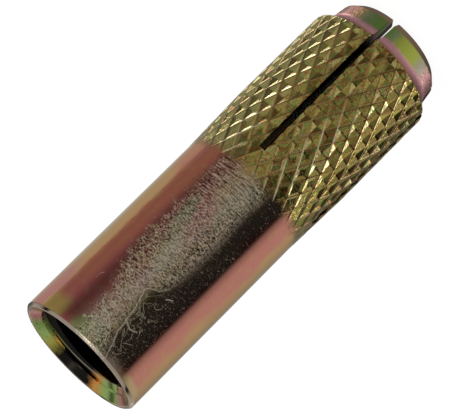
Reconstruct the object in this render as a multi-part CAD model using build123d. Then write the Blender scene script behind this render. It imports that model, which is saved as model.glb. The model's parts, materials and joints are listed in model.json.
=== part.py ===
import math
import os

from build123d import *

# Drop-in anchor, standing on its slotted nose with the threaded mouth up.
# Heights are measured from the end of the nose along +Z, in millimetres.

# Sleeve, outside: each step is taken off the radius of what it is next to
overall_length = 65.0
body_diameter = 20.0
mouth_bevel = 0.35
nose_step = 1.4
nose_flare = 0.3
nose_bevel = 1.1
nose_bevel_height = 1.2
shoulder_height = 5.0
shoulder_sweep_height = 1.8
collar_bevel = 0.35
collar_land = 0.9

# Sleeve, inside: each wall is measured in from the outside next to it
thread_wall = 3.0
thread_length = 23.0
mouth_rim = 0.8
countersink_depth = 1.75
countersink_ledge = 0.2
guide_wall = 3.2
nose_wall = 3.3
nose_bore_length = 2.0
taper_length = 18.0

# Knurl: flat-topped ridges that cross, with a four-sided pit in each mesh between them
knurl_length = 26.45
knurl_turn = -0.4  # degrees from the middle of a slot to the nearest crossing of the lowest row
knurl_pitch = 2.1
diamond_length = 4.05
ridge_rise = 0.38
ridge_crest_width = 0.16
pit_depth = 0.42
knurl_fade_length = 11.0
seat_margin = 0.02

# Slots: each pass of the slitting saw opens two opposite walls
saw_passes = 2
slot_width = 1.1
slot_length = 28.4
saw_radius = 40.0

# Expander plug
plug_clearance = 0.06
plug_length = 20.0
plug_cone_length = 8.0
plug_cone_drop = 1.15
plug_back_bevel = 0.5
plug_front_round = 0.6
plug_gap_below_thread = 1.5

body_radius = body_diameter / 2
ridge_radius = body_radius + ridge_rise
collar_radius = ridge_radius + seat_margin
shoulder_radius = collar_radius - collar_bevel
nose_radius = body_radius - nose_step
nose_root_radius = nose_radius + nose_flare
nose_root_height = shoulder_height - shoulder_sweep_height

thread_minor_radius = body_radius - thread_wall
thread_end = overall_length - thread_length
countersink_radius = body_radius - mouth_rim
countersink_floor = overall_length - countersink_depth
guide_bore_radius = body_radius - guide_wall
guide_bore_end = nose_bore_length + taper_length
nose_bore_radius = nose_radius - nose_wall

plug_radius = guide_bore_radius - plug_clearance
plug_back = thread_end - plug_gap_below_thread
plug_front = plug_back - plug_length

collar_start = shoulder_height + collar_bevel
knurl_start = collar_start + collar_land
knurl_end = knurl_start + knurl_length
knurl_ridges = round(math.pi * body_diameter / knurl_pitch)
knurl_rows = round(knurl_length / (diamond_length / 2))
step_turn = math.pi / knurl_ridges
row_height = knurl_length / knurl_rows
ridge_slant = math.atan2(step_turn * ridge_radius, row_height)
crossing_rise = ridge_crest_width / 2 / math.sin(ridge_slant)
crossing_turn = ridge_crest_width / 2 / math.cos(ridge_slant) / ridge_radius


def facet(*corners):
    """A flat face through its corners, given counter-clockwise from outside."""
    return Face(Wire.make_polygon(corners, close=True))


def knurl_point(turn, height, depth=0.0):
    """A point on the ridges' crests, or so far below them; both fade out into the plain body."""
    share = min(1.0, (knurl_end - height) / knurl_fade_length)
    radius = body_radius - seat_margin + (ridge_rise + seat_margin - depth) * share
    return Vector(radius * math.cos(turn), radius * math.sin(turn), height)


def crossing(turn, height):
    """Corners of the flat where two ridges cross: right, above, left and below."""
    return (
        knurl_point(turn + crossing_turn, height),
        knurl_point(turn, height + crossing_rise),
        knurl_point(turn - crossing_turn, height),
        knurl_point(turn, height - crossing_rise),
    )


def pit_facets(row, turn):
    """Facets that fall from the ridges round a mesh to its lowest point, above and below its row."""
    height = knurl_start + row_height * row
    centre = knurl_point(turn, height, pit_depth)
    left = crossing(turn - step_turn, height)[0]
    right = crossing(turn + step_turn, height)[2]
    above = crossing(turn, height + row_height)[3]
    below = crossing(turn, height - row_height)[1]
    upper = [facet(centre, right, above), facet(centre, above, left)]
    lower = [facet(centre, below, right), facet(centre, left, below)]
    return upper, lower


def ridge_facets(row, turn):
    """The flat of a crossing, and the two crests that climb from it to the row above."""
    height = knurl_start + row_height * row
    right, above, left, below = crossing(turn, height)
    _, _, right_side, right_foot = crossing(turn + step_turn, height + row_height)
    left_side, _, _, left_foot = crossing(turn - step_turn, height + row_height)
    upper = [
        facet(left, right, above),
        facet(right, right_foot, right_side),
        facet(right, right_side, above),
        facet(above, left_side, left),
        facet(left_side, left_foot, left),
    ]
    lower = [facet(left, below, right)]
    return upper, lower


def knurl_ring():
    """The knurled length as one faceted solid: ridges cross, with a pit in each mesh between them."""
    faces = []
    end_outlines = {0: [], knurl_rows: []}
    for row in range(knurl_rows + 1):
        height = knurl_start + row_height * row
        for step in range(2 * knurl_ridges):
            turn = math.radians(knurl_turn) + step_turn * step
            in_pit = (row + step) % 2
            upper, lower = pit_facets(row, turn) if in_pit else ridge_facets(row, turn)
            if row < knurl_rows:
                faces += upper
            if row > 0:
                faces += lower
            if row in end_outlines and in_pit:
                end_outlines[row].append(knurl_point(turn, height, pit_depth))
            elif row in end_outlines:
                right, _, left, _ = crossing(turn, height)
                end_outlines[row] += [left, right]
    faces += [facet(*outline) for outline in end_outlines.values()]
    return Solid(Shell(faces))


def turned(outline):
    """A solid of revolution about Z from its half section in the XZ plane."""
    return revolve(make_face(Plane.XZ * outline), Axis.Z)


def plain_outside():
    """The smooth body above the knurl, with its bevelled mouth edge."""
    return turned(
        Polyline(
            (0, knurl_end),
            (body_radius, knurl_end),
            (body_radius, overall_length - mouth_bevel),
            (body_radius - mouth_bevel, overall_length),
            (0, overall_length),
            close=True,
        )
    )


def nose_outside():
    """The bevelled nose, the sweep from it out to the shoulder, and the collar that ends the knurl."""
    nose_root = (nose_root_radius, nose_root_height)
    shoulder = (shoulder_radius, shoulder_height)
    edges = Polyline(
        nose_root,
        (nose_radius, nose_bevel_height),
        (nose_radius - nose_bevel, 0),
        (0, 0),
        (0, knurl_start),
        (collar_radius, knurl_start),
        (collar_radius, collar_start),
        shoulder,
    )
    up_the_nose = (nose_flare, nose_root_height - nose_bevel_height)
    return turned(edges + TangentArc(nose_root, shoulder, tangent=up_the_nose))


def bore():
    """Countersink, thread bore at its minor diameter, guide bore, taper and nose bore, as one cutter."""
    return turned(
        Polyline(
            (0, 0),
            (nose_bore_radius, 0),
            (nose_bore_radius, nose_bore_length),
            (guide_bore_radius, guide_bore_end),
            (guide_bore_radius, thread_end),
            (thread_minor_radius, thread_end),
            (thread_minor_radius, countersink_floor),
            (thread_minor_radius + countersink_ledge, countersink_floor),
            (countersink_radius, overall_length),
            (0, overall_length),
            close=True,
        )
    )


def saw_cuts():
    """Discs of the slitting saw, run in from the nose until the slot is long enough outside."""
    saw_centre = slot_length - math.sqrt(saw_radius**2 - body_radius**2)
    blade = Location((0, 0, saw_centre)) * Cylinder(saw_radius, slot_width, rotation=(90, 0, 0))
    return [blade.rotate(Axis.Z, 180 / saw_passes * i) for i in range(saw_passes)]


def sleeve():
    """The sleeve is one piece of steel: turned, knurled, tapped and slit."""
    outside = nose_outside() + knurl_ring() + plain_outside()
    return outside - bore() - saw_cuts()


def expander_plug():
    """The loose plug inside: a cylinder that guides it and a cone that spreads the leaves."""
    plug = turned(
        Polyline(
            (0, plug_front),
            (plug_radius - plug_cone_drop, plug_front),
            (plug_radius, plug_front + plug_cone_length),
            (plug_radius, plug_back),
            (0, plug_back),
            close=True,
        )
    )
    rims = plug.edges().filter_by(GeomType.CIRCLE).sort_by(Axis.Z)
    plug = chamfer(rims[-1], plug_back_bevel)
    front_rim = plug.edges().filter_by(GeomType.CIRCLE).sort_by(Axis.Z)[0]
    return fillet(front_rim, plug_front_round)


if __name__ == "__main__":
    os.makedirs("parts", exist_ok=True)
    export_step(sleeve(), "parts/sleeve.step")
    export_step(expander_plug(), "parts/expander_plug.step")
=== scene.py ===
import json
import math

import bmesh
import bpy
import numpy as np
from mathutils import Matrix, Vector


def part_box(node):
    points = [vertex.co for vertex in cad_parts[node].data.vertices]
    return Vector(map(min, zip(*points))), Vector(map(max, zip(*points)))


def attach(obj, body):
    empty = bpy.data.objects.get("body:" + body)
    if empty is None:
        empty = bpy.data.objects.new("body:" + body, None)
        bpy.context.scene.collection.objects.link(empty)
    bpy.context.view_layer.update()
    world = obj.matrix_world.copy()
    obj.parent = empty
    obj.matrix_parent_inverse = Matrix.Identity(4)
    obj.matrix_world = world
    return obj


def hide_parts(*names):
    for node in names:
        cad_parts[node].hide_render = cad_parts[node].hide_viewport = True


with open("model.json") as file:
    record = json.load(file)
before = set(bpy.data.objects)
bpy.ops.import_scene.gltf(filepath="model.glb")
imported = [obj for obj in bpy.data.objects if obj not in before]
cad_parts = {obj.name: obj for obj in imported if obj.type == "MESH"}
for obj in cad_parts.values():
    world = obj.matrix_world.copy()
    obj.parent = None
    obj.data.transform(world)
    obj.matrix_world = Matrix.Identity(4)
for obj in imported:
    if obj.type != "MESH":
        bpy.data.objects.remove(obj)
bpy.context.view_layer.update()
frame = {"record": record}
mm = 0.001
viewTurn = math.radians(-105)  # compass turn of the side of the sleeve that faces the camera
mounts = {mount["name"]: mount for mount in frame["record"]["mounts"]}


def placed(name, data):
    thing = bpy.data.objects.new(name, data)
    bpy.context.scene.collection.objects.link(thing)
    return thing


# One mesh from points in millimetres and arrays of faces, each array with its own number of corners.
def meshFromFaces(name, points, faceSets):
    corners = np.concatenate([faces.ravel() for faces in faceSets]).astype(np.int32)
    totals = np.concatenate([np.full(len(faces), faces.shape[1]) for faces in faceSets]).astype(np.int32)
    starts = np.concatenate([[0], np.cumsum(totals)[:-1]]).astype(np.int32)
    mesh = bpy.data.meshes.new(name)
    mesh.vertices.add(len(points))
    mesh.vertices.foreach_set("co", (points * mm).astype(np.float32).ravel())
    mesh.loops.add(len(corners))
    mesh.loops.foreach_set("vertex_index", corners)
    mesh.polygons.add(len(totals))
    mesh.polygons.foreach_set("loop_start", starts)
    mesh.polygons.foreach_set("loop_total", totals)
    mesh.update(calc_edges=True)
    return mesh


# An outline of corners (radius, height, rounding): each corner is cut by an arc through the two points
# where a circle of that rounding touches its sides.
def roundedOutline(corners, steps=4):
    points = []
    for i, (r, z, rounding) in enumerate(corners):
        here = np.array([r, z], float)
        if rounding == 0:
            points.append(here)
            continue
        before = np.array(corners[i - 1][:2]) - here
        after = np.array(corners[i + 1][:2]) - here
        before, after = before / np.linalg.norm(before), after / np.linalg.norm(after)
        half = math.acos(np.clip(before @ after, -1, 1)) / 2
        centre = here + (before + after) / np.linalg.norm(before + after) * rounding / math.sin(half)
        start = here + before * rounding / math.tan(half) - centre
        end = here + after * rounding / math.tan(half) - centre
        turn = math.atan2(start[0] * end[1] - start[1] * end[0], start @ end)
        for share in np.linspace(0, 1, steps + 1):
            c, s = math.cos(turn * share), math.sin(turn * share)
            points.append(centre + [c * start[0] - s * start[1], s * start[0] + c * start[1]])
    return np.array(points)


# the sleeve in millimetres, standing on its nose
sleeve = {
    "columns": 480,  # round the outside, eight to each half mesh of the knurl
    "rim": 9.2,  # inner radius of the flat rim at the mouth
    "rimRound": 0.12,
    "mouthBevel": 0.35,
    "bodyEdgeRound": 0.15,
    "plainRows": (6, 34, 7),  # from so far below the mouth, to this height, and how many
    "shoulderRadius": 10.4,
    "shoulderBevel": 0.35,
    "shoulderHeight": 5.0,
    "sweepRows": 8,
    "noseRoot": (8.9, 3.2),
    "noseEdge": (8.6, 1.2),
    "noseEnd": 7.5,
    "noseRounds": (0.25, 0.3),  # of the nose's edge and its end
    "noseBore": 5.3,
    "noseBoreBevel": 0.1,
    "noseBoreLength": 2.0,
    "guideBore": 6.8,
    "guideStart": 20.0,
    "guideRows": (31.5, 34.0),  # above the slots
    "guideSeam": 38.0,  # where the bore goes over to half as many columns
    "threadStart": 42.0,
    "countersinkFloor": 63.25,
    "countersinkStart": 7.2,
    "countersinkTop": 0.06,  # under the mouth, so that the rim's inner edge is eased
    "threadPitch": 2.0,
    "threadDepth": 1.0,
    "threadCrest": 0.5,
    "threadFlank": 30,  # degrees
    "slotWidth": 1.1,
    "slotGauge": 0.2,  # above the body, where the slots' width picks the columns at their edges
    "slotEnd": 28.4,
    "sawRadius": 40.0,
}
knurl = {
    "meshes": 30,  # round the sleeve
    "length": 4.07,  # of one diamond
    "rowsPerDiamond": 16,
    "top": 32.7,  # height of a row of crossings where the net runs out
    "start": 33.4,  # the first row that lies on the net
    "turn": 5.6,  # degrees to the first crossing of the top row
    "fade": 11.0,  # length over which the net rises out of the plain body
    "fadeStart": 32.9,
    "rise": 0.38,  # crests above the plain body
    "depth": 0.34,  # pits below the crests, if they ended in a point
    "crest": 0.06,  # half width of a flat crest
    "pitFloor": 0.1,  # share of the depth that a pit's small flat floor takes away
    "unevenness": 0.012,
}
sleeve["length"] = (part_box("sleeve")[1].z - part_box("sleeve")[0].z) / mm
sleeve["body"] = mounts["body_outside"]["dims"]["r_mm"]
sleeve["threadMinor"] = mounts["thread"]["dims"]["r_mm"]
quarter = math.pi / 2


# Crest height less a drop that grows with the distance to the nearest of the two families of ridges,
# which are the lines where turn / mesh + height / diamond, or their difference, is a whole number. The
# floor of the meshes sinks and the crests rise together with the share of the knurl that is pressed in.
def knurlRadius(turn, height):
    meshTurn = 2 * math.pi / knurl["meshes"]
    across = (turn - math.radians(knurl["turn"])) / meshTurn
    along = (height - knurl["top"]) / knurl["length"]
    slant = math.atan2(meshTurn / 2 * (sleeve["body"] + knurl["rise"]), knurl["length"] / 2)
    spacing = meshTurn * (sleeve["body"] + knurl["rise"]) * math.cos(slant)
    first, second = across + along, across - along
    nearest = spacing * np.minimum(abs(first - np.round(first)), abs(second - np.round(second)))
    share = np.clip((knurl["fadeStart"] - height) / knurl["fade"], 0, 1)
    share = share + knurl["unevenness"] * np.sin(5 * turn + 1.3 * height) * np.sin(3 * turn - 0.7 * height)
    share = np.clip(share, 0, 1.02)
    drop = knurl["depth"] * np.maximum(0, nearest - knurl["crest"]) / (spacing / 2 - knurl["crest"])
    crest = knurl["rise"] * share
    floor = (knurl["rise"] - knurl["depth"] * (1 - knurl["pitFloor"])) * share
    return sleeve["body"] + np.maximum(floor, crest - drop)


# The turned shoulder: a bevel whose radius falls as fast as its height, then an arc that sweeps in and
# down to the nose, whose radius at a height is its centre's less the root of arc² - drop².
def shoulderRadius(height):
    s = sleeve
    edge = s["shoulderRadius"] - s["shoulderBevel"]
    rootRadius, rootHeight = s["noseRoot"]
    lean = math.atan2(s["noseRoot"][0] - s["noseEdge"][0], rootHeight - s["noseEdge"][1])
    chord = np.array([edge - rootRadius, s["shoulderHeight"] - rootHeight])
    sideways = np.array([math.cos(lean), -math.sin(lean)])
    arc = chord @ chord / (2 * chord @ sideways)
    centre = np.array([rootRadius, rootHeight]) + arc * sideways
    drop = np.clip(height - centre[1], -arc, arc)
    sweep = centre[0] - np.sqrt(arc**2 - drop**2)
    bevel = edge + (height - s["shoulderHeight"])
    return np.where(height > s["shoulderHeight"], bevel, sweep)


# How far each turn is from the middle of its nearest slot.
def fromSlots(turns):
    return (turns + quarter / 2) % quarter - quarter / 2


# Turns moved in proportion, within a slot and within a leaf, so that the slots' edges are half a slot's
# width off its middle plane: there the turn's sine is half the width over this radius.
def leafTurns(base, radius, halfTurn):
    offset = fromSlots(base)
    wanted = np.arcsin(sleeve["slotWidth"] / 2 / radius)
    stretch = (quarter / 2 - wanted) / (quarter / 2 - halfTurn)
    beyond = np.sign(offset) * (wanted + (abs(offset) - halfTurn) * stretch)
    return base - offset + np.where(abs(offset) <= halfTurn + 1e-9, offset / halfTurn * wanted, beyond)


# Points of one or more rings: radius times the turn's cosine and sine, then the height.
def ringPoints(radius, turns, heights):
    return np.stack([radius * np.cos(turns), radius * np.sin(turns), heights + 0 * turns], -1).reshape(-1, 3)


# Quads between two rings of vertex numbers.
def ringFaces(a, b):
    return np.stack([a, b, np.roll(b, -1), np.roll(a, -1)], 1)


# Turns, radii and heights of the sleeve's rings, from the rim down the outside, round the nose and up the
# guide bore to where the thread begins, each ring with one value for every column. The knurl's rows are a
# sixteenth of a diamond apart, so that points lie on all its ridges.
def sleeveRings(base, inSlot, halfTurn):
    s, k = sleeve, knurl
    full = np.ones(len(base))
    mouth = roundedOutline([
        (s["rim"] + s["rimRound"], s["length"], 0),
        (s["body"] - s["mouthBevel"], s["length"], s["rimRound"]),
        (s["body"], s["length"] - s["mouthBevel"], s["bodyEdgeRound"]),
        (s["body"], s["length"] - 3, 0),
    ])
    below, lowest, rows = s["plainRows"]
    plain = np.array([(s["body"], z) for z in np.linspace(s["length"] - below, lowest, rows)])
    step = k["length"] / k["rowsPerDiamond"]
    highest = math.floor((k["start"] - k["top"]) / step)
    lattice = k["top"] + step * np.arange(highest, highest - 2 * s["length"] / step, -1)
    lattice = lattice[lattice > s["noseRoot"][1] + 1.2]
    nose = roundedOutline([
        (*s["noseRoot"], 0),
        (*s["noseEdge"], s["noseRounds"][0]),
        (s["noseEnd"], 0, s["noseRounds"][1]),
        (s["noseBore"] + s["noseBoreBevel"], 0, 0),
    ])
    sweep = np.linspace(lattice[-1], s["noseRoot"][1], s["sweepRows"])[1:-1]
    sweep = np.stack([shoulderRadius(sweep), sweep], 1)
    taperMiddle = ((s["noseBore"] + s["guideBore"]) / 2, (s["noseBoreLength"] + s["guideStart"]) / 2)
    guide = np.array([
        (s["noseBore"], s["noseBoreBevel"]), (s["noseBore"], s["noseBoreLength"]), taperMiddle,
        (s["guideBore"], s["guideStart"]), (s["guideBore"], 25.0),
    ])
    rings = [(base, r * full, z * full) for r, z in np.concatenate([mouth, plain])]
    firstKnurl = len(rings)
    outerEnd = None
    for z in lattice:
        heights = z * full
        if outerEnd is None and z < s["slotEnd"]:
            outerEnd = len(rings)
            heights = np.where(inSlot, s["slotEnd"], z)
        underShoulder = shoulderRadius(np.minimum(heights, s["shoulderHeight"] + 1))
        radius = np.minimum(knurlRadius(base, heights), underShoulder)
        turns = base if outerEnd is None else np.where(inSlot, leafTurns(base, radius, halfTurn), base)
        rings.append((turns, radius, heights))
    lastKnurl = len(rings) - 1
    sawCentre = s["slotEnd"] - math.sqrt(s["sawRadius"]**2 - s["body"]**2)
    innerEnd = sawCentre + math.sqrt(s["sawRadius"]**2 - s["guideBore"]**2)
    for r, z in np.concatenate([sweep, nose, guide, [(s["guideBore"], innerEnd)]]):
        rings.append((leafTurns(base, r, halfTurn), r * full, z * full))
    innerRow = len(rings) - 1
    rings += [(base, s["guideBore"] * full, z * full) for z in s["guideRows"]]
    return [np.array(part) for part in zip(*rings)], (firstKnurl, lastKnurl), (outerEnd, innerRow)


# The threaded half of the bore, from one ring of numbers to the rim's, with half as many columns. It is a
# helix: height is start + pitch * (turns of the thread + share of the way round), and the radius is the
# minor one plus the depth at the root's two marks, or the countersink's cone where that is wider.
def threadedBore(last, firstRing, fewer, count):
    s = sleeve
    half = len(fewer)
    flank = s["threadDepth"] * math.tan(math.radians(s["threadFlank"]))
    root = s["threadPitch"] - s["threadCrest"] - 2 * flank
    marks = np.cumsum([0, s["threadCrest"], flank, root]) / s["threadPitch"]
    deep = np.array([0, 0, 1, 1])
    turnsUp = math.ceil((s["countersinkFloor"] + 1 - s["threadStart"]) / s["threadPitch"]) + 2
    rows = 4 * turnsUp
    share = (np.arange(turnsUp)[:, None] - 1 + marks).ravel()[:, None]
    depth = np.tile(deep, turnsUp)[:, None]
    turned = ((fewer - fewer[0]) % (2 * math.pi))[None, :] / (2 * math.pi)
    slope = (s["rim"] - s["countersinkStart"]) / (s["length"] - s["countersinkFloor"])
    widest = s["threadMinor"] + s["threadDepth"] + 0.1
    top = s["countersinkFloor"] + (widest - s["countersinkStart"]) / slope
    z = s["threadStart"] + s["threadPitch"] * (share + turned)
    z = np.clip(z, s["threadStart"], top)
    fade = np.clip((z - s["threadStart"]) / s["threadPitch"], 0, 1)
    r = s["threadMinor"] + s["threadDepth"] * depth * fade
    cone = s["countersinkStart"] + slope * (z - s["countersinkFloor"])
    r = np.where(z > s["countersinkFloor"], np.maximum(r, cone), r)
    rimHeight = s["length"] - s["countersinkTop"]
    rimRadius = s["countersinkStart"] + slope * (rimHeight - s["countersinkFloor"])
    points = [
        ringPoints(s["guideBore"], fewer, s["guideSeam"]),
        ringPoints(s["guideBore"], fewer, s["threadStart"]),
        ringPoints(r, np.repeat(fewer[None, :], rows, 0), z),
        ringPoints(rimRadius, fewer, rimHeight),
    ]
    number = count + np.arange((rows + 3) * half).reshape(-1, half)
    seamRing, stepRing, thread, rimRing = number[0], number[1], number[2:-1], number[-1]
    lower, upper = thread[:-1], thread[1:]
    faceSets = [
        np.stack([last[0::2], seamRing, np.roll(seamRing, -1), np.roll(last[0::2], -1), last[1::2]], 1),
        ringFaces(seamRing, stepRing),
        ringFaces(stepRing, thread[0]),
        np.stack([lower[:, :-1], upper[:, :-1], upper[:, 1:], lower[:, 1:]], -1).reshape(-1, 4),
        np.stack([lower[:-4, -1], upper[:-4, -1], upper[4:, 0], lower[4:, 0]], -1),  # one pitch up
        ringFaces(thread[-1], rimRing),
        np.stack([rimRing, firstRing[0::2], firstRing[1::2], np.roll(firstRing[0::2], -1),
                  np.roll(rimRing, -1)], 1),
    ]
    return points, faceSets


# A grid of rings and columns, open where the slots are. A cell of the knurl is split along the ridge that
# it lies nearest to, and each slot's two walls are one face each, through the points of a column.
def buildSleeve():
    s, k = sleeve, knurl
    columns = s["columns"]
    spacing = 2 * math.pi / columns
    base = math.radians(k["turn"]) + spacing * (np.arange(columns) + 0.5)
    halfTurn = math.asin(s["slotWidth"] / 2 / (s["body"] + s["slotGauge"]))
    edges = []
    for slot in range(4):  # the two columns nearest each slot's edges become those edges
        for side in (-1, 1):
            away = (base - slot * quarter - side * halfTurn + math.pi) % (2 * math.pi) - math.pi
            column = int(np.argmin(abs(away)))
            base[column] -= away[column]
            edges.append(column)
    inSlot = abs(fromSlots(base)) <= halfTurn + 1e-9
    rings, (firstKnurl, lastKnurl), (outerEnd, innerRow) = sleeveRings(base, inSlot, halfTurn)
    turns, radii, heights = rings
    number = np.arange(turns.size).reshape(turns.shape)

    here, below = number[:-1], number[1:]
    quads = np.stack([here, below, np.roll(below, -1, 1), np.roll(here, -1, 1)], -1)
    rowOf = np.repeat(np.arange(len(here))[:, None], columns, 1)
    isOpen = inSlot & np.roll(inSlot, -1)
    kept = ~(isOpen[None, :] & (rowOf >= outerEnd) & (rowOf < innerRow))
    inKnurl = (rowOf >= firstKnurl) & (rowOf < lastKnurl)
    middleTurn = (base + spacing / 2)[None, :]
    middleHeight = (heights[:-1, :1] + heights[1:, :1]) / 2
    across = (middleTurn - math.radians(k["turn"])) * k["meshes"] / (2 * math.pi)
    along = (middleHeight - k["top"]) / k["length"]
    first, second = across + along, across - along
    alongFirst = abs(first - np.round(first)) < abs(second - np.round(second))
    falling = quads[kept & inKnurl & alongFirst]
    rising = quads[kept & inKnurl & ~alongFirst]
    faceSets = [
        quads[kept & ~inKnurl], falling[:, [0, 1, 2]], falling[:, [0, 2, 3]],
        rising[:, [0, 1, 3]], rising[:, [1, 2, 3]],
    ]
    start = np.flatnonzero(isOpen)
    end = (start + 1) % columns
    faceSets.append(np.stack([
        number[outerEnd, start], number[innerRow, start], number[innerRow, end], number[outerEnd, end]], 1))
    for i, column in enumerate(edges):
        wall = number[outerEnd:innerRow + 1, column]
        faceSets.append((wall if i % 2 == 0 else wall[::-1])[None, :])

    borePoints, boreFaces = threadedBore(number[-1], number[0], base[::2], number.size)
    return np.concatenate([ringPoints(radii, turns, heights)] + borePoints), faceSets + boreFaces


# Whether the faces on an edge's two sides turn by more than an angle, for every edge.
def sharpEdges(mesh, angle):
    mesh.set_sharp_from_angle(angle=math.radians(angle))
    sharp = np.zeros(len(mesh.edges), bool)
    mesh.attributes["sharp_edge"].data.foreach_get("value", sharp)
    return sharp


# Merges points that lie together, drops faces with no area and keeps the sharper edges crisp, with an
# angle of its own for edges whose points isRounded picks by radius and height in millimetres.
def tidyMesh(mesh, sharpAngle, roundedAngle=None, isRounded=None):
    work = bmesh.new()
    work.from_mesh(mesh)
    bmesh.ops.remove_doubles(work, verts=work.verts, dist=2e-6)
    bmesh.ops.dissolve_degenerate(work, edges=work.edges, dist=1e-7)
    openEdges = sum(1 for edge in work.edges if len(edge.link_faces) != 2)
    triangles = sum(len(face.verts) - 2 for face in work.faces)
    print("points", len(work.verts), "faces", len(work.faces), "open edges", openEdges,
          "triangles", triangles, "volume mm3", work.calc_volume() / mm**3)
    work.to_mesh(mesh)
    work.free()
    mesh.shade_smooth()
    sharp = sharpEdges(mesh, sharpAngle)
    if isRounded:
        rounded = sharpEdges(mesh, roundedAngle)
        points = np.zeros((len(mesh.vertices), 3), np.float32)
        mesh.vertices.foreach_get("co", points.ravel())
        ends = np.zeros((len(mesh.edges), 2), np.int32)
        mesh.edges.foreach_get("vertices", ends.ravel())
        picked = isRounded(np.hypot(points[:, 0], points[:, 1]) / mm, points[:, 2] / mm)
        sharp = np.where(picked[ends].all(1), rounded, sharp)
    mesh.attributes["sharp_edge"].data.foreach_set("value", sharp)


sleeveMesh = meshFromFaces("sleeveFinish", *buildSleeve())
tidyMesh(sleeveMesh, 17, 80, lambda radius, height: (radius > 9.6) & (height > 5.4) & (height < 33))
sleevePiece = placed("sleeveFinish", sleeveMesh)
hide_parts("sleeve")
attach(sleevePiece, "sleeve_body")
print("sleeve made")

plug = {
    "columns": 96,
    "coneLength": 8.0,
    "coneDrop": 1.15,
    "coneRound": 0.4,
    "backBevel": 0.5,
    "frontRound": 0.6,
    "edgeRound": 0.1,
    "poleRing": 0.4,  # radius of the last ring before each pole
    "stains": [(0.3, (0.62, 0.5, 0.3)), (0.5, (0.62, 0.42, 0.26)), (0.7, (0.56, 0.5, 0.3))],
}


# A lathe: every point (radius, height) of the outline is turned about Z, and each end closes on a pole.
def buildPlug():
    p = plug
    columns = p["columns"]
    low, high = (corner.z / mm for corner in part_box("expander_plug"))
    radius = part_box("expander_plug")[1].x / mm
    outline = roundedOutline([
        (p["poleRing"], low, 0),
        (radius - p["coneDrop"], low, p["frontRound"]),
        (radius, low + p["coneLength"], p["coneRound"]),
        (radius, high - p["backBevel"], p["edgeRound"]),
        (radius - p["backBevel"], high, p["edgeRound"]),
        (p["poleRing"], high, 0),
    ])
    turns = np.linspace(0, 2 * math.pi, columns, endpoint=False)
    points = ringPoints(outline[:, :1], turns, outline[:, 1:])
    number = np.arange(len(points)).reshape(-1, columns)
    poles = np.array([(0, 0, low), (0, 0, high)])
    quads = np.concatenate([ringFaces(upper, lower) for lower, upper in zip(number[:-1], number[1:])])
    bottom = np.stack([np.full(columns, number.size), np.roll(number[0], -1), number[0]], 1)
    top = np.stack([np.full(columns, number.size + 1), number[-1], np.roll(number[-1], -1)], 1)
    return np.concatenate([points, poles]), [quads, bottom, top]


plugMesh = meshFromFaces("plugFinish", *buildPlug())
tidyMesh(plugMesh, 25)
plugPiece = placed("plugFinish", plugMesh)
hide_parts("expander_plug")
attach(plugPiece, "plug_body")
print("plug made")


# A shader node with its inputs, each a value or another node's socket, and its settings.
def makeNode(tree, kind, inputs=None, **settings):
    node = tree.nodes.new("ShaderNode" + kind)
    for key, value in settings.items():
        setattr(node, key, value)
    for key, value in (inputs or {}).items():
        if isinstance(value, bpy.types.NodeSocket):
            tree.links.new(value, node.inputs[key])
        else:
            node.inputs[key].default_value = value
    return node


def calc(tree, operation, *values):
    return makeNode(tree, "Math", dict(enumerate(values)), operation=operation).outputs[0]


def scaleAdd(tree, value, factor, more):
    return calc(tree, "MULTIPLY_ADD", value, factor, more)


def less(tree, value, other):
    return calc(tree, "SUBTRACT", value, other)


def product(tree, first, *others):
    for other in others:
        first = calc(tree, "MULTIPLY", first, other)
    return first


def distance(tree, value, other):
    return calc(tree, "ABSOLUTE", less(tree, value, other))


# The value carried from low..high to first..last, with soft ends.
def between(tree, value, low, high, first=0.0, last=1.0, smooth=True):
    return makeNode(
        tree, "MapRange",
        {"Value": value, "From Min": low, "From Max": high, "To Min": first, "To Max": last},
        interpolation_type="SMOOTHSTEP" if smooth else "LINEAR",
    ).outputs["Result"]


# The share that falls from one at low to nothing at high.
def falling(tree, value, low, high):
    return between(tree, value, low, high, 1.0, 0.0)


# A colour ramp whose stops are (place from 0 to 1, colour or level).
def ramp(tree, value, stops, interpolation="EASE"):
    node = makeNode(tree, "ValToRGB", {"Fac": value})
    node.color_ramp.interpolation = interpolation
    elements = node.color_ramp.elements
    while len(elements) < len(stops):
        elements.new(0.5)
    for element, (place, colour) in zip(elements, stops):
        element.position = place
        element.color = (*colour, 1) if hasattr(colour, "__len__") else (colour, colour, colour, 1)
    return node.outputs["Color"]


# From the first colour to the second by a share, each a socket or the name of a tint.
def blendColour(tree, share, first, second):
    node = makeNode(tree, "Mix", data_type="RGBA")
    for index, value in ((0, share), (6, first), (7, second)):
        if isinstance(value, bpy.types.NodeSocket):
            tree.links.new(value, node.inputs[index])
        else:
            node.inputs[index].default_value = (*tints[value], 1)
    return node.outputs[2]


def parts(tree, vector):
    return makeNode(tree, "SeparateXYZ", {"Vector": vector}).outputs


def turnToCamera(tree, vector):
    return makeNode(tree, "VectorRotate", {"Vector": vector, "Angle": -viewTurn},
                    rotation_type="Z_AXIS").outputs["Vector"]


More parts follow.
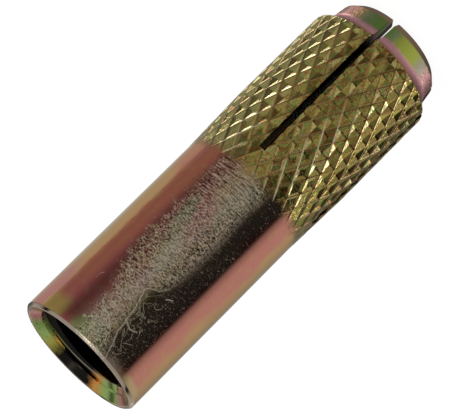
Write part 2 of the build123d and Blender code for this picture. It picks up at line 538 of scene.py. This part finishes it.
studio = {
    "plain": 1.0,  # level that matt things are lit at
    "base": 0.009,  # least level of what the metal mirrors
    "rows": [  # what the metal mirrors: rises above the horizon, and levels by side from the camera
        {"rise": (-24, -9), "soft": 5, "levels": [  # seen in the plain body
            (-180, 0.5), (-165, 0.6), (-150, 0.57), (-130, 0.58), (-117, 0.57), (-111, 0.38), (-100, 0.31),
            (-90, 0.34), (-80, 0.3), (-70, 0.18), (-60, 0.11), (-50, 0.12), (-40, 0.15), (-30, 0.18),
            (-10, 0.19), (2, 0.1), (14, 0.018), (69, 0.008), (72, 0.08), (77, 0.34), (82, 0.46), (90, 0.61),
            (100, 0.64), (120, 0.62), (135, 0.52), (150, 0.4), (160, 0.36), (170, 0.42), (180, 0.5)]},
        {"rise": (-27, -8), "soft": 5, "levels": [
            (-180, 0), (-60, 0), (-40, 0.05), (-30, 0.12), (-20, 0.2), (-8, 0.2), (2, 0.08), (10, 0),
            (180, 0)]},
        {"rise": (-9, 14), "soft": 5, "levels": [  # in the knurl's walls that face up
            (-180, 0.1), (-160, 0.15), (-140, 0.16), (-128, 0.25), (-117, 0.36), (-105, 0.42), (-60, 0.36),
            (-36, 0.37), (0, 0.36), (14, 0.32), (24, 0.27), (60, 0.29), (80, 0.26), (94, 0.33), (105, 0.4),
            (117, 0.5), (128, 0.62), (139, 0.72), (151, 0.68), (162, 0.5), (175, 0.2), (180, 0.1)]},
        {"rise": (-120, -60), "soft": 8, "levels": [  # in the nose's bevel
            (-180, 0.3), (0, 0.24), (180, 0.3)]},
        {"rise": (-60, -24), "soft": 5, "levels": [  # in the knurl's walls that face down
            (-180, 0.2), (-160, 0.2), (-135, 0.24), (-120, 0.24), (-104, 0.26), (-85, 0.14), (-53, 0.19),
            (-40, 0.2), (-14, 0.2), (0, 0.24), (18, 0.38), (42, 0.5), (56, 0.52), (75, 0.48), (90, 0.38),
            (108, 0.3), (120, 0.22), (130, 0.16), (144, 0.13), (172, 0.12), (180, 0.3)]},
        {"rise": (-32.5, -22), "soft": 3, "light": 4.0, "levels": [  # glints
            (-180, 0), (-150, 0), (-142, 0.6), (-136, 1), (-116, 1), (-108, 0.3), (-100, 0.04), (-92, 0),
            (80, 0), (86, 0.5), (92, 1), (104, 1), (110, 0.3), (118, 0.05), (124, 0), (180, 0)]},
        {"rise": (14, 32), "soft": 8, "levels": [  # in the rim
            (-180, 0.6), (-150, 0.5), (-120, 0.2), (0, 0.1), (120, 0.2), (150, 0.5), (180, 0.6)]},
        {"rise": (40, 95), "soft": 6, "light": 3.0, "levels": [  # and in the edge nearest the camera
            (-180, 0.14), (-60, 0.14), (-30, 0.16), (-20, 1), (0, 1), (8, 0.14), (60, 0.12), (180, 0.14)]},
    ],
    "floorSize": 3000.0,  # millimetres
    "floorLevel": -0.02,  # a hair under the nose's ends
    "floorPaper": 0.9,
    "floorWhite": 0.9,  # share of the floor's look that is plain white
    "floorLift": 0.04,
}


# Matt things see plain white. Metal mirrors a soft studio: each row of it is a level by side, within its
# rises above the horizon, and the rows add up.
def makeWorld():
    world = bpy.data.worlds.new("studio")
    bpy.context.scene.world = world
    world.use_nodes = True
    tree = world.node_tree
    tree.nodes.clear()
    way = turnToCamera(tree, makeNode(tree, "TexCoord").outputs["Generated"])
    x, y, z = parts(tree, way)
    place = scaleAdd(tree, calc(tree, "ARCTAN2", y, x), -0.5 / math.pi, 0.5)
    rise = product(tree, calc(tree, "ARCSINE", z), 180 / math.pi)
    level = studio["base"]
    for row in studio["rows"]:
        low, high = row["rise"]
        half = row["soft"] / 2
        stops = [((side + 180) / 360, light) for side, light in row["levels"]]
        inside = product(tree, between(tree, rise, low - half, low + half),
                         between(tree, rise, high - half, high + half, row.get("light", 1.0), 0.0))
        level = scaleAdd(tree, inside, ramp(tree, place, stops, "LINEAR"), level)
    rays = makeNode(tree, "LightPath").outputs
    plain = makeNode(tree, "Background",
                     {"Color": (1, 1, 1, 1), "Strength": studio["plain"]}).outputs[0]
    mirrored = makeNode(tree, "Background", {"Color": level, "Strength": 1.0}).outputs[0]
    mixed = makeNode(tree, "MixShader", {0: rays["Is Glossy Ray"], 1: plain, 2: mirrored}).outputs[0]
    makeNode(tree, "OutputWorld", {"Surface": mixed})


def makeFloor():
    size, level, grey = studio["floorSize"], studio["floorLevel"], studio["floorPaper"]
    corners = np.array([(x * size, y * size, level) for x, y in ((-1, -1), (1, -1), (1, 1), (-1, 1))])
    mesh = meshFromFaces("floor", corners, [np.array([[0, 1, 2, 3]])])
    floor = placed("floor", mesh)
    material = bpy.data.materials.new("floorPaper")
    material.use_nodes = True
    tree = material.node_tree
    tree.nodes.clear()
    paper = makeNode(tree, "BsdfDiffuse", {"Color": (grey, grey, grey, 1)}).outputs[0]
    white, lift = (
        makeNode(tree, "Emission", {"Color": (1, 1, 1, 1), "Strength": strength}).outputs[0]
        for strength in (1.0, studio["floorLift"]))
    seen = makeNode(tree, "MixShader", {0: studio["floorWhite"], 1: paper, 2: white}).outputs[0]
    seen = makeNode(tree, "AddShader", {0: seen, 1: lift}).outputs[0]
    rays = makeNode(tree, "LightPath").outputs
    mixed = makeNode(tree, "MixShader", {0: rays["Is Camera Ray"], 1: paper, 2: seen}).outputs[0]
    makeNode(tree, "OutputMaterial", {"Surface": mixed})
    mesh.materials.append(material)
    floor.visible_glossy = False


cameraSettings = {
    "place": (-0.08972, -0.33438, 0.144385),
    "turn": 75.0,  # compass direction it looks in, degrees
    "tilt": -17.615,
    "roll": -134.855,
    "lens": 203.04,
}


def makeCamera():
    c = cameraSettings
    data = bpy.data.cameras.new("camera")
    data.sensor_width, data.lens = 36.0, c["lens"]
    data.clip_start, data.clip_end = 0.01, 20
    camera = placed("camera", data)
    turn, tilt = math.radians(c["turn"]), math.radians(c["tilt"])
    forward = Vector((math.cos(tilt) * math.cos(turn), math.cos(tilt) * math.sin(turn), math.sin(tilt)))
    right = forward.cross(Vector((0, 0, 1))).normalized()
    upright = Matrix((right, right.cross(forward), -forward)).transposed()
    rolled = upright @ Matrix.Rotation(math.radians(c["roll"]), 3, "Z")
    camera.matrix_world = Matrix.Translation(c["place"]) @ rolled.to_4x4()
    bpy.context.scene.camera = camera


tints = {
    "rose": (0.61, 0.25, 0.19),
    "pink": (0.62, 0.26, 0.25),
    "tan": (0.61, 0.37, 0.17),
    "beige": (0.6, 0.54, 0.4),
    "rust": (0.62, 0.21, 0.13),
    "maroon": (0.58, 0.17, 0.15),
    "greyPink": (0.61, 0.43, 0.35),
    "olive": (0.56, 0.45, 0.22),
    "green": (0.4, 0.5, 0.24),
    "lime": (0.6, 0.66, 0.12),
    "pale": (0.68, 0.66, 0.48),
    "bronze": (0.6, 0.4, 0.12),
    "moss": (0.6, 0.47, 0.13),
    "citron": (0.62, 0.55, 0.11),
    "fern": (0.5, 0.46, 0.17),
    "straw": (0.62, 0.53, 0.3),
    # painted shade and painted dark reflection: the bore, the slots' walls and the mouth's far side
    "paintedDarkness": (0.02, 0.018, 0.015),
    "orange": (0.6, 0.25, 0.06),
    "leaf": (0.3, 0.5, 0.11),
    "umber": (0.22, 0.14, 0.06),
    "brown": (0.5, 0.31, 0.16),
    "peat": (0.36, 0.27, 0.09),
    # painted highlight for the knurl's walls that catch the glints
    "paintedGlintCream": (0.7, 0.62, 0.36),
    "shade": (0.2, 0.15, 0.1),
    # painted shade for the knurl's walls that should look dark
    "paintedWallShade": (0.06, 0.045, 0.015),
    "wine": (0.13, 0.037, 0.04),
    "plum": (0.5, 0.26, 0.25),
    "grass": (0.5, 0.7, 0.22),
    "amber": (0.95, 0.42, 0.1),
    "bark": (0.56, 0.42, 0.3),
    "glancing": (0.88, 0.85, 0.76),  # what a surface seen edge on mirrors
    "rosyShine": (0.96, 0.77, 0.6),  # rubbed flecks, worn pale, with a painted highlight
    "greenShine": (0.92, 0.92, 0.6),
    "paintedHollowShade": (0.07, 0.045, 0.03),  # painted shade between the flecks
    "scratch": (0.95, 0.85, 0.68),
    "darkWall": (0.12, 0.06, 0.02),  # the knurl's darkest walls, and its palest
    "paleWall": (1.0, 0.86, 0.4),
    "greenSpot": (0.2, 0.42, 0.07),
    "rustSpot": (0.42, 0.14, 0.03),
    # crests: their tint, a darker one at the sides that is painted shade, and a pale one that is a painted
    # highlight
    "crest": (0.62, 0.36, 0.14),
    "sideCrest": (0.16, 0.11, 0.06),
    "litCrest": (1.0, 0.93, 0.6),
    "sweep": (1.0, 0.5, 0.54),  # the shoulder's sweep down to the nose
    "bevel": (0.5, 0.33, 0.2),
    # painted highlight for the rim and the mouth's bevel
    "edge": (0.66, 0.56, 0.46),
    "latheMark": (0.4, 0.3, 0.18),
}
plating = {
    "bands": [  # degrees round from the side that faces the camera
        (-180, "tan"), (-160, "rose"), (-140, "rust"), (-122, "tan"), (-100, "beige"), (-82, "beige"),
        (-72, "tan"), (-60, "tan"), (-55, "rust"), (-42, "rust"), (-34, "maroon"), (-20, "maroon"),
        (-10, "greyPink"), (0, "olive"), (12, "bark"), (31, "bark"), (35, "rose"), (55, "rose"), (65, "tan"),
        (74, "tan"), (84, "beige"), (95, "beige"), (110, "tan"), (125, "rose"), (140, "rust"), (160, "tan")],
    "bandWander": (34, 9),  # degrees, by slow and by quick noise
    "patches": [  # angle, height, half sizes in degrees and mm, lean in degrees per mm, tint, strength
        (-67, 62.0, 13, 6.0, 0, "pink", 0.9),
        (-46, 63.6, 13, 2.4, 0, "moss", 0.8),
        (-44, 60.0, 10, 2.5, 0, "maroon", 0.6),
        (-19, 44.5, 7, 5.5, 1.0, "green", 0.9),
        (-8, 48.5, 7, 4.0, 0.6, "pale", 0.8),
        (-6, 42.5, 11, 3.5, 0, "greyPink", 0.8),
        (-2, 35.0, 20, 4.5, 0, "olive", 0.8),
        (-17, 64.2, 9, 2.0, 0, "leaf", 0.6),
        (-5, 62.6, 7, 1.8, 0, "pale", 0.6),
        (-66, 33.5, 18, 4.5, 0, "rose", 0.7),
        (52, 64.6, 24, 1.2, 0, "olive", 0.8),
        (9, 63.0, 10, 2.2, 0, "shade", 0.6),
        (-22, 52.0, 12, 7.0, 0, "maroon", 0.6),
        (-9, 41.5, 6, 3.0, 0.5, "pink", 0.7),
        (4, 37.0, 10, 5.0, 0, "pale", 0.6),
    ],
    "patchRag": 1.6,
    "walls": [  # of the knurl, painted highlights and painted shade by the way each wall faces: facing the mouth and leaning left, or right, then facing the nose
        [(-180, "moss"), (-120, "fern"), (-95, "moss"), (-80, "fern"), (-48, "fern"), (-30, "moss"),
         (25, "moss"), (40, "peat"), (46, "paintedWallShade"), (62, "paintedWallShade"), (80, "umber"), (110, "moss"),
         (150, "citron")],
        [(-180, "moss"), (-120, "fern"), (-95, "moss"), (-80, "fern"), (-48, "fern"), (-30, "moss"),
         (25, "moss"), (42, "citron"), (62, "citron"), (72, "umber"), (80, "umber"), (110, "moss"),
         (150, "citron")],
        [(-180, "bronze"), (-100, "fern"), (-72, "umber"), (-58, "peat"), (-52, "paintedGlintCream"), (-36, "paintedGlintCream"),
         (-27, "bronze"), (46, "moss"), (55, "umber"), (63, "paintedWallShade"), (80, "paintedWallShade"), (100, "bronze"),
         (150, "straw")],
        [(-180, "bronze"), (-100, "bronze"), (-80, "paintedWallShade"), (-62, "umber"), (-54, "fern"), (-45, "moss"),
         (16, "moss"), (23, "paintedGlintCream"), (36, "paintedGlintCream"), (43, "paintedWallShade"), (75, "paintedWallShade"), (100, "bronze"),
         (150, "straw")],
    ],
    "litCrests": [(2, 27, 12), (-48, -26, 20)],  # of each family: angles between which they get a painted highlight, and foot
    "noseFace": [
        (-180, "lime"), (-160, "pink"), (-120, "green"), (-95, "wine"), (-58, "wine"), (-46, "brown"),
        (-36, "green"), (-24, "leaf"), (-11, "leaf"), (-4, "green"), (3, "lime"), (24, "lime"), (34, "beige"),
        (46, "plum"), (80, "plum"), (110, "brown"), (130, "lime"), (160, "rose")],
    # the mouth's cone by angle: its hues, and a painted dark reflection on the far side
    "mouth": [
        (-180, "paintedDarkness"), (-165, "paintedDarkness"), (-152, "citron"), (-140, "grass"), (-122, "grass"), (-110, "pink"),
        (-95, "pink"), (-60, "tan"), (0, "beige"), (60, "tan"), (95, "pink"), (108, "pink"), (118, "grass"),
        (138, "grass"), (149, "amber"), (160, "paintedDarkness")],
    # the bore: painted shade, with a painted reflection of the thread in orange
    "bore": [
        (-180, "paintedDarkness"), (90, "paintedDarkness"), (128, "umber"), (140, "orange"), (152, "umber"), (160, "paintedDarkness")],
    "mainScratch": [  # height above the nose's end, and degrees
        (33.0, 16), (37.0, 15), (42.0, 16.5), (47.0, 16.5), (50.0, 15), (51.8, 12), (53.0, 8), (53.7, 1),
        (54.3, -1), (55.5, 1), (58.0, 5), (61.0, 7), (62.7, 11), (64.4, 14)],
    "shortScratches": [  # degrees and height along each
        [(-20.5, 57.6), (-19.5, 58.9), (-16, 59.7), (-9, 60.1), (-4, 60.6), (2, 61.5)],
        [(-19, 55.2), (-15.5, 56.9), (-13, 56.4), (-8.5, 57.8), (-5, 59)],
        [(-28, 51.2), (-25.5, 53.2), (-21, 53.6), (-15, 54.7)],
        [(-37.4, 57.8), (-36.4, 56.5), (-34, 55.9)],
        [(15.5, 53.1), (21.5, 52.4)],
        [(4, 58.9), (12, 59.6), (19, 59.1)]],
    "hairlines": (-24, 26, 51),  # between these angles, above this height
    "rubbedLeft": (50, 60, -34, -19),  # heights between which the rubbing's left edge moves, and degrees
    "rubbedBehind": (95, 110),  # degrees, between which it sets in on the back
    "longFlecks": (34, 44),  # heights between which the long lines break up into flecks
    "specks": (0, 8, 33, 36),  # degrees between which they come and go
    "knurlEnd": (31.0, 33.3),  # heights between which the knurl's tints end
    "noseTop": (5.0, 5.2),  # and the nose's
}


# Millimetres with X towards the camera's side, then degrees round from that side, radius and height.
def places(tree):
    place = makeNode(tree, "TexCoord").outputs["Object"]
    place = makeNode(tree, "VectorMath", {0: place, 1: (1 / mm, 1 / mm, 1 / mm)},
                     operation="MULTIPLY").outputs[0]
    turned = turnToCamera(tree, place)
    x, y, height = parts(tree, turned)
    angle = product(tree, calc(tree, "ARCTAN2", y, x), -180 / math.pi)
    radius = calc(tree, "SQRT", scaleAdd(tree, x, x, product(tree, y, y)))
    return turned, angle, radius, height


# Noise from 0 to 1 whose cells are about 1 / stretch millimetres, X and Y, then Z.
def noise(tree, place, stretch, seed, detail=2.0, roughness=0.55, distortion=0.0):
    moved = makeNode(tree, "VectorMath", {
        0: place, 1: (stretch[0], stretch[0], stretch[1]), 2: (seed * 7.3, seed * 3.1, seed * 5.7)},
        operation="MULTIPLY_ADD").outputs[0]
    return makeNode(tree, "TexNoise", {
        "Vector": moved, "Scale": 1.0, "Detail": detail, "Roughness": roughness,
        "Distortion": distortion}).outputs[0]


# Tints by degrees round from -180, which run on into the first again.
def byAngle(tree, angle, stops):
    place = calc(tree, "FRACT", scaleAdd(tree, angle, 1 / 360, 0.5))
    closed = stops + [(180, stops[0][1])]
    return ramp(tree, place, [((degrees + 180) / 360, tints[name]) for degrees, name in closed], "LINEAR")


# The value, for each place along, of the line through the stops.
def traced(tree, along, stops):
    low, high = stops[0][0], stops[-1][0]
    small = min(value for _, value in stops)
    span = max(value for _, value in stops) - small
    share = between(tree, along, low, high, smooth=False)
    shares = [((at - low) / (high - low), (value - small) / span) for at, value in stops]
    return scaleAdd(tree, ramp(tree, share, shares, "LINEAR"), span, small)


# A soft ellipse with ragged edges, leaning with height.
def patch(tree, angle, height, ragged, spec):
    centre, level, halfAngle, halfHeight, lean, _, strength = spec
    up = scaleAdd(tree, height, 1 / halfHeight, -level / halfHeight)
    middle = scaleAdd(tree, height, lean, centre - lean * level)
    across = calc(tree, "DIVIDE", less(tree, angle, middle), halfAngle)
    far = scaleAdd(tree, across, across, product(tree, up, up))
    return between(tree, calc(tree, "ADD", far, ragged), 0.3, 1.4, strength, 0.0)


# The plain half: bands of tint that wander by noise, and the patches over them.
def plainTint(tree, angle, height, slow, quick):
    slowWander, quickWander = plating["bandWander"]
    wander = scaleAdd(tree, slow, slowWander, angle)
    wander = scaleAdd(tree, quick, quickWander, wander)
    tint = byAngle(tree, wander, plating["bands"])
    ragged = product(tree, quick, plating["patchRag"])
    for spec in plating["patches"]:
        tint = blendColour(tree, patch(tree, angle, height, ragged, spec), tint, spec[5])
    return tint


# Fine grain, and streaks: flecks with some grain, which run into long lines round the body at the knurl.
def streaks(tree, place, height):
    fleck = noise(tree, place, (2.0, 5.6), 3, 3.0, 0.7, 0.8)
    line = noise(tree, place, (0.6, 5.6), 8, 3.0, 0.65, 0.4)
    towardsKnurl = between(tree, height, *plating["longFlecks"], 0.75, 0.0)
    fleck = scaleAdd(tree, less(tree, line, fleck), towardsKnurl, fleck)
    grain = noise(tree, place, (5.0, 7.5), 4, 2.0, 0.7, 0.5)
    return grain, scaleAdd(tree, less(tree, grain, 0.5), 0.6, fleck)


# Where it is rubbed, left of the long scratch and on some of the back, and degrees from that scratch.
def rubbedPlaces(tree, angle, height, slow, quick, streak):
    edge = scaleAdd(tree, quick, 3, traced(tree, height, plating["mainScratch"]))
    fromScratch = less(tree, angle, edge)
    leftEdge = scaleAdd(tree, quick, 26, between(tree, height, *plating["rubbedLeft"]))
    rightEdge = scaleAdd(tree, less(tree, streak, 0.5), 22, fromScratch)
    front = product(tree, falling(tree, rightEdge, -5, 3),
                    between(tree, less(tree, angle, leftEdge), -5, 7))
    behind = product(tree, between(tree, calc(tree, "ABSOLUTE", angle), *plating["rubbedBehind"]),
                     between(tree, slow, 0.0, 0.12, 0.0, 0.8))
    return calc(tree, "MAXIMUM", front, behind), fromScratch


# The strongest of curled hairlines, the long scratch, which is broken by the grain, and the short ones.
def scratches(tree, place, angle, height, quick, grain, fromScratch):
    left, right, foot = plating["hairlines"]
    curls = noise(tree, place, (0.5, 0.45), 5, 3.0, 0.5, 0.8)
    curl = product(
        tree, between(tree, distance(tree, curls, 0.5), 0.004, 0.014, 0.55, 0.0),
        between(tree, angle, left, left + 6), falling(tree, angle, right - 6, right),
        between(tree, height, foot, foot + 4))
    line = product(
        tree, falling(tree, calc(tree, "ABSOLUTE", fromScratch), 0.15, 0.8),
        between(tree, grain, 0.38, 0.5, 0.35, 1.0), between(tree, height, 50, 54, 0.2, 1.0))
    scratch = calc(tree, "MAXIMUM", curl, line)
    wavering = scaleAdd(tree, quick, 0.5, height)
    for stops in plating["shortScratches"]:
        start, end = stops[0][0], stops[-1][0]
        off = distance(tree, wavering, traced(tree, angle, stops))
        short = product(
            tree, between(tree, off, 0.03, 0.15, 0.85, 0.0), between(tree, angle, start, start + 0.8),
            falling(tree, angle, end - 0.8, end))
        scratch = calc(tree, "MAXIMUM", scratch, short)
    return scratch


# What wear does to a tint: bright flecks where it is rubbed, worn pale and with a painted highlight, dark
# hollows between them in painted shade, tan mottles and scratches.
def wornTint(tree, place, tint, slow, streak, rubbed, scratch):
    shine = blendColour(tree, between(tree, slow, -0.06, 0.04), "rosyShine", "greenShine")
    # rubbed flecks, worn pale and brightened as a painted highlight
    bright = product(tree, rubbed, between(tree, streak, 0.51, 0.57), 0.95)
    tint = blendColour(tree, bright, tint, shine)
    # painted shade in the hollows between the flecks
    paintedHollowShade = product(tree, rubbed, between(tree, streak, 0.41, 0.49, 0.9, 0.0))
    tint = blendColour(tree, paintedHollowShade, tint, "paintedHollowShade")
    mottled = between(tree, noise(tree, place, (0.8, 0.8), 9, 3.0, 0.6), 0.5, 0.7, 0.0, 0.3)
    tint = blendColour(tree, mottled, tint, "tan")
    return blendColour(tree, product(tree, scratch, 0.85), tint, "scratch")


# Where a point lies in the knurl's net: whole numbers on the ridges of one family, and of the other.
def netPlace(tree, angle, height):
    k = knurl
    turned = less(tree, math.degrees(viewTurn) - k["turn"], angle)
    across = product(tree, turned, k["meshes"] / 360)
    along = scaleAdd(tree, height, 1 / k["length"], -k["top"] / k["length"])
    return calc(tree, "ADD", across, along), less(tree, across, along)


# Where the run-out's crests get a painted highlight: those of one family right of the middle, of the other
# left of it.
def paintedCrestHighlights(tree, angle, height, below):
    shining = 0.0
    for family, (left, right, foot) in zip(netPlace(tree, angle, height), plating["litCrests"]):
        fromCrest = calc(tree, "ABSOLUTE", calc(tree, "WRAP", family, -0.5, 0.5))
        line = product(
            tree, falling(tree, fromCrest, 0.03, 0.08),
            between(tree, angle, left, left + 6), falling(tree, angle, right - 6, right),
            between(tree, height, foot, foot + 9))
        shining = calc(tree, "MAXIMUM", shining, line)
    return product(tree, shining, falling(tree, height, 32.0, 32.8),
                   falling(tree, below, 0.0, 0.09))


# The knurl's walls are tinted with painted highlights and painted shade by the way they face and lean, each a
# little darker or paler than the next, with green and rusty spots, and its crests are brown in the middle
# with painted shade at the sides.
def knurlTintAndPaintedLight(tree, place, angle, height, below, spots):
    normal = makeNode(tree, "NewGeometry").outputs["True Normal"]
    facing = parts(tree, normal)["Z"]
    leaning = makeNode(tree, "VectorMath", {0: turnToCamera(tree, normal), 1: place},
                       operation="CROSS_PRODUCT").outputs[0]
    lean = parts(tree, leaning)["Z"]
    leansRight = between(tree, lean, -1.0, 1.0)
    upLeft, upRight, downLeft, downRight = (byAngle(tree, angle, stops) for stops in plating["walls"])
    down = blendColour(tree, leansRight, downLeft, downRight)
    up = blendColour(tree, leansRight, upLeft, upRight)
    walls = blendColour(tree, between(tree, facing, -0.1, 0.1), down, up)

    # a number of its own for each wall of each mesh
    first, second = (calc(tree, "FLOOR", family) for family in netPlace(tree, angle, height))
    rightwards, upwards = (calc(tree, "GREATER_THAN", way, 0) for way in (lean, facing))
    wall = scaleAdd(tree, rightwards, 2, upwards)
    cell = makeNode(tree, "CombineXYZ", {"X": first, "Y": second, "Z": wall}).outputs[0]
    each = makeNode(tree, "TexWhiteNoise", {"Vector": cell}).outputs["Value"]
    fromMiddle = calc(tree, "ABSOLUTE", angle)
    inMiddle = between(tree, fromMiddle, 24, 48, 1.0, 0.35)
    for share, name in (
            (between(tree, each, 0.05, 0.5, 0.85, 0.0), "darkWall"),
            (between(tree, each, 0.7, 1.0, 0.0, 0.5), "paleWall"),
            (between(tree, spots, 0.52, 0.6, 0.0, 0.7), "greenSpot"),
            (between(tree, spots, 0.4, 0.48, 0.75, 0.0), "rustSpot")):
        walls = blendColour(tree, product(tree, inMiddle, share), walls, name)

    # painted shade: the crests are darker at the sides
    atSides = between(tree, fromMiddle, 34, 50)
    onCrest = product(tree, between(tree, below, 0.0, 0.06, 0.6, 0.0),
                      scaleAdd(tree, atSides, 0.5, 1.0))
    return blendColour(tree, onCrest, walls, blendColour(tree, atSides, "crest", "sideCrest"))


# The nose by angle, its swept shoulder and its bevel.
def noseTint(tree, angle, height, quick):
    root, edge = sleeve["noseRoot"][1], sleeve["noseEdge"][1]
    nose = byAngle(tree, scaleAdd(tree, quick, 12, angle), plating["noseFace"])
    swept = between(tree, scaleAdd(tree, quick, 0.6, height), root - 0.1, root + 0.5)
    nose = blendColour(tree, swept, nose, "sweep")
    return blendColour(tree, falling(tree, height, edge - 0.05, edge + 0.1), nose, "bevel")


# The mouth's cone by angle, with a painted dark reflection on its far side, a painted highlight on the ledge
# at its foot, and the bore under it in painted shade with a painted reflection of the thread.
def mouthTintAndPaintedLight(tree, angle, height, quick):
    foot = sleeve["countersinkFloor"]
    mouth = byAngle(tree, scaleAdd(tree, quick, 14, angle), plating["mouth"])
    # painted shade and painted reflection in the bore
    inBore = falling(tree, height, foot - 0.1, foot + 0.05)
    mouth = blendColour(tree, inBore, mouth, byAngle(tree, angle, plating["bore"]))
    # a painted highlight on the ledge at the countersink's foot
    ledgeHighlight = between(tree, distance(tree, height, foot + 0.05), 0.03, 0.08, 0.6, 0.0)
    return blendColour(tree, ledgeHighlight, mouth, "beige")


# Painted shade on the slots' sawn walls: half a slot's width from the X or the Y plane, and fading towards
# the nose.
def sawnWallShade(tree, radius, height):
    place = makeNode(tree, "TexCoord").outputs["Object"]
    x, y, _ = parts(tree, place)
    fromSlot = calc(tree, "MINIMUM", calc(tree, "ABSOLUTE", x), calc(tree, "ABSOLUTE", y))
    wall, end, body = sleeve["slotWidth"] / 2, sleeve["slotEnd"] + 2.0, sleeve["body"]
    return product(
        tree, between(tree, fromSlot, (wall + 0.005) * mm, (wall + 0.02) * mm, 0.9, 0.0),
        falling(tree, height, end - 0.1, end), falling(tree, radius, body - 0.05, body),
        between(tree, height, 2.0, 6.0, 0.3, 1.0))


def metalMaterial(name):
    material = bpy.data.materials.new(name)
    material.use_nodes = True
    shader = material.node_tree.nodes["Principled BSDF"]
    shader.inputs["Metallic"].default_value = 1.0
    return material, material.node_tree, shader


# Yellow plating over bright steel: tint with painted highlights and painted shade, gloss and relief, each
# laid on from the plain half to the bore.
def makeSleeveMaterial():
    s, k = sleeve, knurl
    material, tree, shader = metalMaterial("yellowChromate")
    shader.inputs["Specular Tint"].default_value = (*tints["glancing"], 1)
    place, angle, radius, height = places(tree)
    slow = less(tree, noise(tree, place, (0.12, 0.09), 1), 0.5)
    quick = less(tree, noise(tree, place, (0.9, 0.9), 2, 4.0), 0.5)
    spots = noise(tree, place, (1.9, 1.9), 6, 3.0, 0.65)
    grain, streak = streaks(tree, place, height)
    rubbed, fromScratch = rubbedPlaces(tree, angle, height, slow, quick, streak)
    scratch = scratches(tree, place, angle, height, quick, grain, fromScratch)
    tint = plainTint(tree, angle, height, slow, quick)
    tint = wornTint(tree, place, tint, slow, streak, rubbed, scratch)

    # the knurl, whose crests rise out of the body as the net fades in
    share = between(tree, height, k["fadeStart"] - k["fade"], k["fadeStart"], 1.0, 0.0, False)
    below = less(tree, scaleAdd(tree, share, k["rise"], s["body"]), radius)
    # a painted highlight on the run-out's crests
    crestHighlight = paintedCrestHighlights(tree, angle, height, below)
    walls = knurlTintAndPaintedLight(tree, place, angle, height, below, spots)
    inKnurl = falling(tree, scaleAdd(tree, quick, 3, height), *plating["knurlEnd"])
    tint = blendColour(tree, inKnurl, tint, blendColour(tree, crestHighlight, walls, "litCrest"))

    inNose = falling(tree, height, *plating["noseTop"])
    tint = blendColour(tree, inNose, tint, noseTint(tree, angle, height, quick))
    cone = product(tree, falling(tree, radius, s["rim"] - 0.05, s["rim"] + 0.1),
                   between(tree, height, *plating["noseTop"]))
    bore = s["threadMinor"]
    inside = calc(tree, "MAXIMUM", cone, falling(tree, radius, bore - 0.1, bore + 0.1))
    tint = blendColour(tree, inside, tint, mouthTintAndPaintedLight(tree, angle, height, quick))
    # a painted highlight on the rim and the mouth's bevel
    rim = product(tree, between(tree, height, s["length"] - 0.4, s["length"] - 0.3),
                  between(tree, radius, s["rim"], s["rim"] + 0.1), 0.8)
    tint = blendColour(tree, rim, tint, "edge")
    # painted shade on the slots' sawn walls
    tint = blendColour(tree, sawnWallShade(tree, radius, height), tint, "paintedDarkness")
    tree.links.new(tint, shader.inputs["Base Color"])

    come, here, leave, gone = plating["specks"]
    specks = product(tree, between(tree, streak, 0.56, 0.72), between(tree, angle, come, here),
                     falling(tree, angle, leave, gone), 0.3)
    worn = product(tree, rubbed, between(tree, streak, 0.42, 0.6, 0.04, 0.5))
    worn = calc(tree, "MAXIMUM", worn, specks)
    gloss = between(tree, grain, 0.3, 0.7, 0.05, 0.1)
    gloss = scaleAdd(tree, worn, less(tree, 1.0, inKnurl), gloss)
    for part, more in ((scratch, 0.3), (inKnurl, 0.04), (crestHighlight, 0.45), (inside, 0.1), (inNose, 0.2)):
        gloss = scaleAdd(tree, part, more, gloss)
    tree.links.new(gloss, shader.inputs["Roughness"])

    relief = product(tree, streak, scaleAdd(tree, rubbed, 1.3, 0.08))  # hundredths of a mm
    relief = calc(tree, "ADD", relief, scratch)
    relief = scaleAdd(tree, product(tree, spots, inKnurl), 4.5, relief)
    bump = makeNode(tree, "Bump", {"Height": relief, "Strength": 1.0, "Distance": 0.01 * mm})
    tree.links.new(bump.outputs[0], shader.inputs["Normal"])
    return material


# Bright plating over fine marks from the lathe, which run round at one height each.
def makePlugMaterial():
    material, tree, shader = metalMaterial("turnedPlating")
    place, _, radius, height = places(tree)
    ring = makeNode(tree, "CombineXYZ", {"X": radius, "Y": height}).outputs[0]
    marks = noise(tree, ring, (6.0, 1.0), 11, 3.0, 0.7)
    tint = ramp(tree, noise(tree, place, (0.35, 0.35), 12, 3.0, 0.6), plug["stains"])
    tint = blendColour(tree, between(tree, marks, 0.55, 0.75, 0.0, 0.25), tint, "latheMark")
    tree.links.new(tint, shader.inputs["Base Color"])
    tree.links.new(between(tree, marks, 0.3, 0.7, 0.22, 0.36), shader.inputs["Roughness"])
    bump = makeNode(tree, "Bump", {"Height": marks, "Strength": 1.0, "Distance": 0.008 * mm})
    tree.links.new(bump.outputs[0], shader.inputs["Normal"])
    return material


makeWorld()
makeFloor()
makeCamera()
bpy.context.scene.view_settings.view_transform = "Standard"
sleevePiece.data.materials.append(makeSleeveMaterial())
plugPiece.data.materials.append(makePlugMaterial())
print("studio and plating made")
